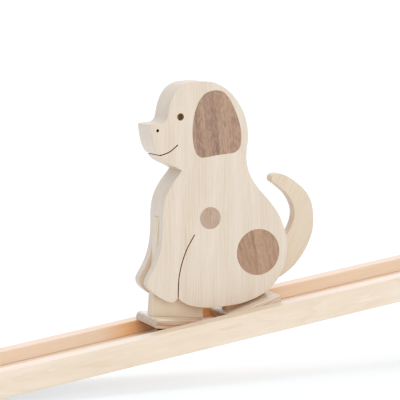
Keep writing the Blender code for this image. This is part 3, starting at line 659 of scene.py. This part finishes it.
# The rear leg's deep orange colour is painted shade: it stands in for the shade under the belly, where the
# leg is seen.
rear_leg_painted_shade_wood = wood("rear_leg_painted_shade_wood", (212, 160, 104), (170, 112, 62), GRAIN_UP,
                     AXLE + Vector((0.4, 0.2, 0.2)), pith=(40, 70), rings=0.3, fibres=0.3, tone=0.3)
maple_tail = wood("maple_tail", (210, 183, 154), (187, 154, 121), (0, math.radians(-60), 0),
                  AXLE + Vector((0.1, 0.3, 0.3)), pith=(35, 30), rings=0.3, fibres=0.25, tone=0.4)
EAR_GRAIN = (0, math.radians(-97), 0)
DISC_GRAIN = (0, math.radians(-102), 0)
WALNUT_STREAKS = (0.3, 1.2, 1.2)
walnut = wood("walnut_ear", (154, 117, 92), (78, 50, 36), EAR_GRAIN, AXLE, pith=(25, -40), spacing=3.4,
              rings=0.12, fibres=0.6, tone=0.35, flecks=0.45, rough=0.45, shine=0.4, end_share=0.3,
              bands=((-9.0, 9.0, 0.2), (2.0, 4.0, 0.2)), streaks=0.8, streak_scale=WALNUT_STREAKS)
walnut_disc = wood("walnut_disc", (162, 121, 92), (98, 66, 47), DISC_GRAIN,
                   AXLE + Vector((0.0354, 0, -0.0249)), pith=(30, 50), spacing=3.0, rings=0.25, fibres=0.4,
                   tone=0.25, flecks=0.5, shine=0.4, end_share=0.3,
                   bands=((10.5, 13.0, 0.08), (3.6, 0.5, 0.35)), streaks=0.6, streak_scale=WALNUT_STREAKS)
walnut_plug = wood("walnut_plug", (168, 138, 114), (126, 96, 76), GRAIN_UP, AXLE + Vector((0.7, 0, 0)),
                   pith=(30, 50), spacing=3.0, rings=0.1, fibres=0.5, tone=0.4, flecks=0.4, shine=0.4,
                   streaks=0.6, streak_scale=WALNUT_STREAKS)
walnut_axle = wood("walnut_axle", (150, 120, 102), (96, 68, 54), GRAIN_ACROSS, pith=(10, 12),
                   spacing=2.4, rings=0.4, fibres=0.5, flecks=0.4)
# Painted light and shade on the soles: their light colour is near white, painted light for their dimly lit
# tops. Their deep orange dark colour gives the grain and, brought in by a band low on the sides, is painted
# shade there. The pale end colour is painted light from the left on the toes' end grain, over real pores.
SOLE_PALE_AND_PAINTED_LIGHT, SOLE_DARK_AND_PAINTED_SHADE, SOLE_END_PAINTED_LIGHT = (252, 233, 206), (152, 98, 58), (206, 188, 160)
REAR_SOLE_END_PAINTED_SHADE = (164, 142, 92)
sole_wood = wood("sole_wood", SOLE_PALE_AND_PAINTED_LIGHT, SOLE_DARK_AND_PAINTED_SHADE, (0, FRONT_PITCH, 0), AXLE, pith=(6, -45),
                 spacing=1.7, rings=0.3, fibres=0.25, flecks=0.2, rough=0.3, end_colour=SOLE_END_PAINTED_LIGHT,
                 end_share=0.9, bands=((-73.6, 7.0, 0.55),))
# The rear sole's olive end colour is painted shade on its toe's end grain, and its fainter band is painted
# shade low on its sides.
rear_sole_wood = wood("rear_sole_wood", SOLE_PALE_AND_PAINTED_LIGHT, SOLE_DARK_AND_PAINTED_SHADE, (0, REAR_PITCH, 0), AXLE, pith=(-9, -42),
                      spacing=1.7, rings=0.3, fibres=0.25, flecks=0.2, rough=0.3,
                      end_colour=REAR_SOLE_END_PAINTED_SHADE, end_share=0.9, bands=((-71.6, 7.0, 0.15),))
RAIL_LIGHT, RAIL_DARK = (232, 205, 175), (208, 170, 132)
near_rail_wood = wood("near_rail_wood", RAIL_LIGHT, RAIL_DARK, GRAIN_ALONG_BEAM, PIVOT, pith=(30, 22),
                      spacing=2.6, rings=0.3, fibres=0.3, tone=0.6, flecks=0.15, warp=4.5, rough=0.3,
                      streaks=0.3, streak_scale=(0.08, 0.5, 0.5))
CHANNEL_LIGHT, CHANNEL_DARK = (238, 206, 177), (218, 174, 140)
far_rail_wood = wood("far_rail_wood", CHANNEL_LIGHT, CHANNEL_DARK, GRAIN_ALONG_BEAM,
                     PIVOT + Vector((0.9, 0.06, 0.3)), pith=(-24, 30), spacing=2.6, rings=0.2,
                     fibres=0.25, tone=0.35, flecks=0.1, warp=3.5, rough=0.5, shine=0.15, streaks=0.2,
                     shade_patch=True)
floor_wood = wood("floor_wood", CHANNEL_LIGHT, CHANNEL_DARK, GRAIN_ALONG_BEAM,
                  PIVOT + Vector((0.4, 0.2, 0.1)), pith=(5, 60), spacing=2.4, rings=0.25, flecks=0.15,
                  shine=0.3, shade_patch=True)
block_wood = wood("end_block_wood", RAIL_LIGHT, RAIL_DARK, GRAIN_ACROSS, (0.1, 0.3, 0.2), pith=(20, 30),
                  rings=0.4)
STAND_LIGHT, STAND_DARK = (230, 208, 182), (204, 170, 134)
stand_wood = wood("stand_wood", STAND_LIGHT, STAND_DARK, GRAIN_UP, (0.2, 0.5, 0.1), pith=(30, 20),
                  spacing=2.6, rings=0.4, tone=0.4, warp=4)
base_wood = wood("base_wood", STAND_LIGHT, STAND_DARK, (0, 0, 0), (0.2, 0.5, 0.1), pith=(10, 44),
                 spacing=2.8, rings=0.4, tone=0.4, warp=4)
DOWEL_LIGHT, DOWEL_DARK = (222, 198, 168), (180, 144, 108)
dowel_wood = wood("dowel_wood", DOWEL_LIGHT, DOWEL_DARK, GRAIN_ACROSS, (0.3, 0.2, 0.2), pith=(9, 5),
                  spacing=1.6, rings=0.5, fibres=0.4, end_share=0.25)
peg_wood = wood("peg_wood", DOWEL_LIGHT, DOWEL_DARK, GRAIN_UP, (0.3, 0.2, 0.2), pith=(9, 5),
                spacing=1.6, rings=0.5, fibres=0.4, end_share=0.25)
# The walls of holes and saw cuts are painted shade: dark brown, and the nostril's nearly black.
hole_wall = drilled("drilled_hole", (178, 140, 96), (112, 78, 46))
nostril_wall = drilled("drilled_nostril", (46, 30, 20), (22, 14, 10))
kerf_wall = drilled("saw_cut", (150, 110, 74), (84, 56, 36))
pad_rubber = rubber("black_rubber", (30, 30, 31), (58, 56, 54))
zinc_steel = steel("zinc_plated_steel", (188, 189, 186), (150, 151, 150))


# ---------------------------------------------------------------- beam

def build_beam():
    half = BEAM_LENGTH / 2 - DRAWN_IN
    outer, inner = -CHANNEL_WIDTH / 2 - RAIL_THICKNESS, -CHANNEL_WIDTH / 2
    groove, side = inner - GROOVE_DEPTH, -outer
    section = rounded([
        (outer, PIVOT_DROP, RAIL_FOOT_ROUND[0]), (inner, PIVOT_DROP, RAIL_FOOT_ROUND[1]),
        (inner, FLOOR_BOTTOM - GROOVE_PLAY, 0), (groove, FLOOR_BOTTOM - GROOVE_PLAY, 0),
        (groove, FLOOR_TOP + GROOVE_PLAY, 0), (inner, FLOOR_TOP + GROOVE_PLAY, 0),
        (inner, RAIL_TOP, RAIL_ROUND), (outer, RAIL_TOP, RAIL_ROUND),
    ], steps=7)
    ends = {"low": -half, "high": half - END_BLOCK_LENGTH}
    dowel_height = (FLOOR_TOP + RAIL_TOP) / 2 + END_DOWEL_ABOVE_MIDDLE
    dowels = {end: (low + END_BLOCK_LENGTH / 2, dowel_height) for end, low in ends.items()}
    bores = {
        end: cutter(bar(END_DOWEL_RADIUS + SEAM, -side - CUT_PAST, side + CUT_PAST, BEAM, at=at), kerf_wall)
        for end, at in dowels.items()
    }
    backwards = BEAM.inverted()

    def at_end(a, b):
        a, b = backwards @ a, backwards @ b
        return abs(abs(a.x) - half) < TOUCHING and abs(a.x - b.x) < TOUCHING

    for name, flip, material in (("near_rail", 1, near_rail_wood), ("far_rail", -1, far_rail_wood)):
        outline = [(y * flip, z) for y, z in section]
        piece(f"{name}_fine", [name], "beam", prism(outline, -half, half, YZ, BEAM), material,
              edge=RAIL_END_EDGE, chosen=at_end, cutters=bores.values())
    width = CHANNEL_WIDTH / 2 + GROOVE_DEPTH - GROOVE_PLAY
    pegs = {"low": (-BLOCK_DOWEL_OFFSET, 0), "high": (BLOCK_DOWEL_OFFSET, 0)}
    peg_bores = {
        end: cutter(bar(BLOCK_DOWEL_RADIUS + SEAM, BLOCK_DOWEL_FOOT - GROOVE_PLAY, FLOOR_TOP + CUT_PAST,
                        BEAM, "Z", at), kerf_wall)
        for end, at in pegs.items()
    }
    piece("channel_floor_fine", ["channel_floor"], "beam",
          prism(slab(-width, width, FLOOR_BOTTOM, FLOOR_TOP), -half, half, YZ, BEAM), floor_wood,
          cutters=peg_bores.values())
    block_half = CHANNEL_WIDTH / 2 - END_BLOCK_SIDE_PLAY
    for end, low in ends.items():
        block = slab(low, low + END_BLOCK_LENGTH, FLOOR_TOP + REST_GAP, RAIL_TOP + END_BLOCK_RISE,
                     top_round=END_BLOCK_ROUND, steps=8)
        piece(f"{end}_end_block_fine", [f"{end}_end_block"], "beam",
              prism(block, -block_half, block_half, XZ, BEAM), block_wood, edge=BLOCK_EDGE,
              cutters=[bores[end]])
        piece(f"{end}_end_dowel_fine", [f"{end}_end_dowel"], "beam",
              bar(END_DOWEL_RADIUS, -side, side, BEAM, at=dowels[end], edge=END_DOWEL_EDGE), dowel_wood)
        piece(f"pivot_block_dowel_{end}_fine", [f"pivot_block_dowel_{end}"], "beam",
              bar(BLOCK_DOWEL_RADIUS, BLOCK_DOWEL_FOOT, FLOOR_TOP, BEAM, "Z", pegs[end]), peg_wood)
    length, width = PIVOT_BLOCK
    outline = slab(-length / 2, length / 2, -PIVOT_BLOCK_BELOW_AXIS, FLOOR_BOTTOM - REST_GAP,
                   foot_round=PIVOT_BLOCK_ROUND, steps=10)
    bore = cutter(bar(AXLE_RADIUS + RUNNING_GAP, -width, width, BEAM), kerf_wall)
    piece("pivot_block_fine", ["pivot_block"], "beam",
          prism(outline, -width / 2, width / 2, XZ, BEAM), stand_wood, edge=BLOCK_EDGE,
          cutters=[bore, *peg_bores.values()])


# ---------------------------------------------------------------- stand

def build_stand():
    length, width, thickness = BASE_SIZE
    plan = slab(-length / 2, length / 2, -width / 2, width / 2, BASE_CORNER_ROUND, BASE_CORNER_ROUND, 10)
    inner = PIVOT_BLOCK[1] / 2 + CHEEK_SIDE_PLAY
    outer = inner + CHEEK_THICKNESS
    cone = SCREW_HEAD - SCREW_SHANK
    hole = [(0, -CUT_PAST), (SCREW_HEAD + SEAM, -CUT_PAST), (SCREW_HEAD + SEAM, 0),
            (SCREW_SHANK + SEAM, cone), (SCREW_SHANK + SEAM, SCREW_LENGTH), (0, SCREW_LENGTH)]
    screw = [(0, SCREW_RIM[0]), (SCREW_HEAD - SCREW_CHAMFER, SCREW_RIM[0]), (SCREW_HEAD, SCREW_RIM[1]),
             (SCREW_HEAD, 0), (SCREW_SHANK, cone), (SCREW_SHANK, SCREW_LENGTH - SCREW_POINT),
             (0, SCREW_LENGTH)]
    places = {
        f"{side}_{end}": Matrix.Translation((x, y, SCREW_SUNK))
        for side, y in (("near", -(inner + outer) / 2), ("far", (inner + outer) / 2))
        for end, x in (("low", -SCREW_OFFSET), ("high", SCREW_OFFSET))
    }
    holes = [cutter(lathe(hole, place), kerf_wall) for place in places.values()]
    piece("stand_base_fine", ["stand_base"], "stand", prism(plan, 0, thickness, XY, STAND),
          base_wood, edge=BASE_EDGE, cutters=holes)
    foot, top = thickness + REST_GAP, PIVOT.z + CHEEK_ABOVE_AXIS
    outline = rounded([
        (-CHEEK_FOOT / 2, foot, 0), (CHEEK_FOOT / 2, foot, 0),
        (CHEEK_FOOT / 2, foot + CHEEK_SHOULDER, CHEEK_SHOULDER_ROUND),
        (CHEEK_TOP_HALF, top, CHEEK_TOP_ROUND), (-CHEEK_TOP_HALF, top, CHEEK_TOP_ROUND),
        (-CHEEK_FOOT / 2, foot + CHEEK_SHOULDER, CHEEK_SHOULDER_ROUND),
    ], steps=12)
    axis = (0, PIVOT.z)
    bore = cutter(bar(AXLE_RADIUS + SEAM, -2 * outer, 2 * outer, STAND, at=axis), kerf_wall)
    for side, low in (("near", -outer), ("far", inner)):
        name = f"stand_cheek_{side}"
        piece(f"{name}_fine", [name], "stand",
              prism(outline, low, low + CHEEK_THICKNESS, XZ, STAND), stand_wood, edge=CHEEK_EDGE,
              cutters=[bore])
    end = outer + AXLE_OVERHANG
    piece("pivot_axle_fine", ["pivot_axle"], "stand",
          bar(AXLE_RADIUS, -end, end, STAND, at=axis, edge=AXLE_EDGE), walnut_axle)
    half_length, half_width, depth = SCREW_SLOT
    cut = slab(-half_length, half_length, -half_width, half_width)
    for key, place in places.items():
        slots = [
            cutter(prism(cut, SCREW_SLOT_FROM, depth, XY,
                         place @ Matrix.Rotation(math.radians(turn), 4, "Z")), zinc_steel)
            for turn in SCREW_SLOT_TURNS
        ]
        piece(f"stand_screw_{key}_fine", [f"stand_screw_{key}"], "stand",
              lathe(screw, place, 32), zinc_steel, cutters=slots)


# ---------------------------------------------------------------- dog

def saw_cut(path):
    """A cutter for a saw cut right through the dog."""
    return cutter(prism(scaled(ribbon(smooth_run(path), KERF_WIDTH / MM)), -2 * BODY_HALF, 2 * BODY_HALF,
                        XZ, DOG), kerf_wall)


def build_body():
    back, chest, jaw = smooth_run(BACK), smooth_run(CHEST), smooth_run(JAW)
    outline = offset(scaled(back[:-1] + chest[:-1] + jaw[:-1]), -DRAWN_IN / 2)
    ear = scaled(smooth_run(EAR)[:-1])
    half = BODY_HALF
    mouth, leg_line = saw_cut(MOUTH), saw_cut(LEG_LINE)
    bore = cutter(bar(SHOULDER_RADIUS + SEAM, -2 * half, 2 * half, DOG), kerf_wall)
    for side, sign, material in (("near", -1, maple_near), ("far", 1, maple_far)):
        low, high = sorted((sign * SLOT_HALF, sign * half))
        face = sign * half

        def on_face(a, b, face=face):
            return abs(a.y - face) < TOUCHING and abs(b.y - face) < TOUCHING

        pocket = sorted((sign * (half - INLAY_THICKNESS - SEAM), sign * 2 * half))
        cutters = [
            mouth, leg_line, bore,
            cutter(prism(offset(ear, SEAM), *pocket, XZ, DOG), kerf_wall),
            cutter(bar(HAUNCH_RADIUS + SEAM, *pocket, DOG, at=HAUNCH_CENTRE, segments=96), kerf_wall),
        ]
        for (x, z, radius, depth), wall in ((EYE, hole_wall), (NOSTRIL, nostril_wall)):
            hole = sorted((sign * (half - depth), sign * 2 * half))
            cutters.append(cutter(bar(radius, *hole, DOG, at=(x, z), segments=32), wall))
        piece(f"body_{side}_side_fine", [f"body_{side}_side"], "dog",
              prism(outline, low, high, XZ, DOG), material, edge=BODY_EDGE_ROUND, chosen=on_face,
              cutters=cutters)
        inlay = sorted((sign * (half - INLAY_THICKNESS), sign * half))
        piece(f"ear_inlay_{side}_fine", [f"ear_inlay_{side}"], "dog",
              prism(ear, *inlay, XZ, DOG), walnut)
        piece(f"haunch_inlay_{side}_fine", [f"haunch_inlay_{side}"], "dog",
              bar(HAUNCH_RADIUS, *inlay, DOG, at=HAUNCH_CENTRE, segments=96), walnut_disc)
    end_angle = 180 - math.degrees(math.asin(CORE_FOOT / NOTCH_RADIUS))
    core = [point for point in back if point[1] > CORE_BACK_FROM] + [CORE_BACK]
    core += arc(NOTCH_RADIUS, 0, end_angle, 40) + [(FRONT_LEG_CHEST, CORE_FOOT)]
    core += [point for point in chest if point[1] > CORE_FOOT][:-1] + jaw[:-1]
    core = offset(scaled(core), -DRAWN_IN / 2)
    piece("body_core_fine", ["body_core"], "dog",
          prism(core, -SLOT_HALF, SLOT_HALF, XZ, DOG), maple_core, cutters=[mouth])
    piece("shoulder_axle_fine", ["shoulder_axle"], "dog",
          bar(SHOULDER_RADIUS, -half, half, DOG, segments=64), walnut_plug)


def build_foot(name, body, place, drop, sole_span, pad_span, dowels, material):
    low, high = sole_span
    top, bottom = -drop, -drop - SOLE_THICKNESS
    dowel_top = top + SOLE_DOWEL_RISE
    side = rounded([
        (low, bottom, SOLE_TOE_ROUND[0]), (high, bottom, SOLE_HEEL_ROUND[0]),
        (high, top, SOLE_HEEL_ROUND[1]), (low, top, SOLE_TOE_ROUND[1]),
    ], steps=8)
    holes = [
        cutter(bar(SMALL_DOWEL_RADIUS + SEAM, bottom - CUT_PAST, dowel_top, place, "Z", (x, 0)), kerf_wall)
        for x in dowels
    ]
    piece(f"{name}_sole_fine", [f"{name}_sole"], body,
          prism(side, -SOLE_WIDTH / 2, SOLE_WIDTH / 2, XZ, place), material, edge=SOLE_EDGE, cutters=holes)
    for index, x in enumerate(dowels, 1):
        piece(f"{name}_sole_dowel_{index}_fine", [f"{name}_sole_dowel_{index}"], body,
              bar(SMALL_DOWEL_RADIUS, bottom, dowel_top, place, "Z", (x, 0)), peg_wood)
    plan = slab(*pad_span, -PAD_WIDTH / 2, PAD_WIDTH / 2, PAD_CORNER_ROUND, PAD_CORNER_ROUND)
    piece(f"{name}_grip_pad_fine", [f"{name}_grip_pad"], body,
          prism(plan, bottom - PAD_GAP - PAD_THICKNESS, bottom - PAD_GLUE, XY, place), pad_rubber,
          edge=PAD_EDGE)


def build_legs():
    notch_angle = -180 - math.degrees(math.asin(LEG_TOP / NOTCH_RADIUS))
    drop = FRONT_SOLE_DROP / MM - LEG_SHORT
    toe, heel = (from_foot(FRONT_PITCH, along, drop) for along in (FRONT_LEG_TOE, FRONT_LEG_HEEL))
    heel_angle = math.degrees(math.atan2(heel[1], heel[0])) - HEEL_OVERRUN
    front = [(FRONT_LEG_CHEST, LEG_TOP), toe, heel] + arc(NOTCH_RADIUS, heel_angle, notch_angle, 30)
    piece("front_leg_fine", ["front_leg", "front_leg_dowel_1", "front_leg_dowel_2"], "dog",
          prism(scaled(front), -LAYER_HALF, LAYER_HALF, XZ, DOG), maple_leg, edge=LEG_EDGE)
    drop = REAR_SOLE_DROP / MM - LEG_SHORT
    toe, heel = (from_foot(REAR_PITCH, along, drop) for along in (REAR_LEG_TOE, REAR_LEG_HEEL))
    toe_angle = math.degrees(math.atan2(toe[1], toe[0]))
    rear = [toe, heel, REAR_LEG_BACK_FOOT, REAR_LEG_BACK]
    rear += arc(HUB_RADIUS, HUB_START, 360 + toe_angle, 60)
    bore = cutter(bar(SHOULDER_RADIUS + RUNNING_GAP, -BODY_HALF, BODY_HALF, DOG), kerf_wall)
    piece("rear_leg_fine", ["rear_leg", "tail_dowel"], "rear_leg",
          prism(scaled(rear), -LAYER_HALF, LAYER_HALF, XZ, DOG), rear_leg_painted_shade_wood, edge=LEG_EDGE,
          cutters=[bore])
    piece("tail_fine", ["tail"], "rear_leg",
          prism(scaled(smooth_run(TAIL)), -LAYER_HALF, LAYER_HALF, XZ, DOG), maple_tail, edge=TAIL_EDGE)
    build_foot("front", "dog", FRONT_FOOT, FRONT_SOLE_DROP, FRONT_SOLE_SPAN, FRONT_PAD_SPAN,
               FRONT_DOWELS, sole_wood)
    build_foot("rear", "rear_leg", REAR_FOOT, REAR_SOLE_DROP, REAR_SOLE_SPAN, REAR_PAD_SPAN,
               REAR_DOWELS, rear_sole_wood)


# ---------------------------------------------------------------- studio

# A table in a pale room, which is dimmer and cooler on the left, with a white backdrop behind its right
# side. The table reflects a warm colour and glows a cool one, so that the two together are white and the
# shadow under the beam, which keeps the glow and some of the light, is a neutral grey.
TABLE_HALF = 400  # metres
TABLE_COLOUR = (0.73, 0.68, 0.62, 1)
TABLE_ROUGHNESS = 0.9
TABLE_GLOW_COLOUR = (0.56, 0.78, 0.95, 1)
TABLE_GLOW = 0.755
ROOM_LEFT = (0.33, 0.50, 0.70, 1)
ROOM_RIGHT = (0.98, 0.98, 0.98, 1)
ROOM_TURN = (-0.8, 0.4)  # directions along X between which the room goes from left to right
BACKDROP = (2.2, 2.2, 2.2, 1)
BACKDROP_TURN = (0.2, 0.7)  # directions along Y between which the room gives way to the white backdrop
OVERHEAD_TURN = (math.radians(-10), 0, 0)  # leans back, away from the camera
OVERHEAD_SPREAD = math.radians(80)
OVERHEAD_STRENGTH = 2.1
FRONT_PLACE = Vector((-0.4, -1.7, 0.9))
FRONT_AIM = Vector((-0.22, 0, 0.08))
FRONT_SIZE = (1.6, 1.2)
FRONT_POWER = 20

# Film response: share of full white against brightness
FILM = ((0, 0), (0.1, 0.114), (0.25, 0.265), (0.5, 0.472), (0.8, 0.661), (1.1, 0.801), (1.3, 0.888),
        (1.45, 0.972), (1.6, 1))

CAMERA_AZIMUTH = math.radians(-22.6)
CAMERA_ELEVATION = math.radians(6.3)
CAMERA_DISTANCE = 1.206
CAMERA_LENS = 162
CAMERA_SENSOR = 36
CAMERA_AIM = Vector((-0.22422, -0.01182, 0.12387))


def build_table():
    plane = bmesh.new()
    bmesh.ops.create_grid(plane, x_segments=1, y_segments=1, size=TABLE_HALF)
    mesh = bpy.data.meshes.new("studio_floor")
    plane.to_mesh(mesh)
    plane.free()
    floor = put("studio_floor", mesh)
    g = Graph("studio_floor")
    for socket, value in (("Base Color", TABLE_COLOUR), ("Roughness", TABLE_ROUGHNESS),
                          ("Specular IOR Level", 0.0), ("Emission Color", TABLE_GLOW_COLOUR),
                          ("Emission Strength", TABLE_GLOW)):
        g.shader.inputs[socket].default_value = value
    mesh.materials.append(g.material)


class RoomGraph(Graph):
    """The same short ways, for a world's nodes."""

    def __init__(self, world):
        self.tree = world.node_tree


def build_room():
    world = bpy.data.worlds.new("studio")
    world.use_nodes = True
    g = RoomGraph(world)
    direction = g.node("ShaderNodeTexCoord").outputs["Generated"]
    apart = g.node("ShaderNodeSeparateXYZ", Vector=direction)
    side = g.ramp(apart.outputs[0], *ROOM_TURN)
    behind = g.ramp(apart.outputs[1], *BACKDROP_TURN)
    room = g.mix(g.math("MULTIPLY", behind, side), g.mix(side, ROOM_LEFT, ROOM_RIGHT), BACKDROP)
    g.feed(g.tree.nodes["Background"].inputs[0], room)
    bpy.context.scene.world = world


def build_lights():
    overhead = bpy.data.lights.new("overhead", "SUN")
    overhead.energy = OVERHEAD_STRENGTH
    overhead.angle = OVERHEAD_SPREAD
    put("overhead", overhead).rotation_euler = OVERHEAD_TURN
    front = bpy.data.lights.new("front", "AREA")
    front.shape = "RECTANGLE"
    front.size, front.size_y = FRONT_SIZE
    front.energy = FRONT_POWER
    lamp = put("front", front)
    lamp.location = FRONT_PLACE
    lamp.rotation_euler = (FRONT_AIM - FRONT_PLACE).to_track_quat("-Z", "Y").to_euler()


def build_camera():
    camera = bpy.data.cameras.new("camera")
    camera.lens = CAMERA_LENS
    camera.sensor_width = CAMERA_SENSOR
    obj = put("camera", camera)
    back = Vector((
        math.sin(CAMERA_AZIMUTH) * math.cos(CAMERA_ELEVATION),
        -math.cos(CAMERA_AZIMUTH) * math.cos(CAMERA_ELEVATION),
        math.sin(CAMERA_ELEVATION),
    ))
    obj.location = CAMERA_AIM + back * CAMERA_DISTANCE
    obj.rotation_euler = back.to_track_quat("Z", "Y").to_euler()
    bpy.context.scene.camera = obj


def set_film():
    """A soft shoulder, so that pale wood keeps its colour under a bright light."""
    view = bpy.context.scene.view_settings
    view.view_transform = "Standard"
    view.look = "None"
    view.use_curve_mapping = True
    mapping = view.curve_mapping
    mapping.clip_max_x = FILM[-1][0]
    curve = mapping.curves[3]  # the one for all three colours together
    curve.points[-1].location = FILM[-1]
    for spot in FILM[1:-1]:
        curve.points.new(*spot)
    mapping.update()


build_camera()
set_film()
build_beam()
build_stand()
build_body()
build_legs()
build_table()
build_room()
build_lights()
for used in list(HELPERS.objects):
    bpy.data.objects.remove(used, do_unlink=True)
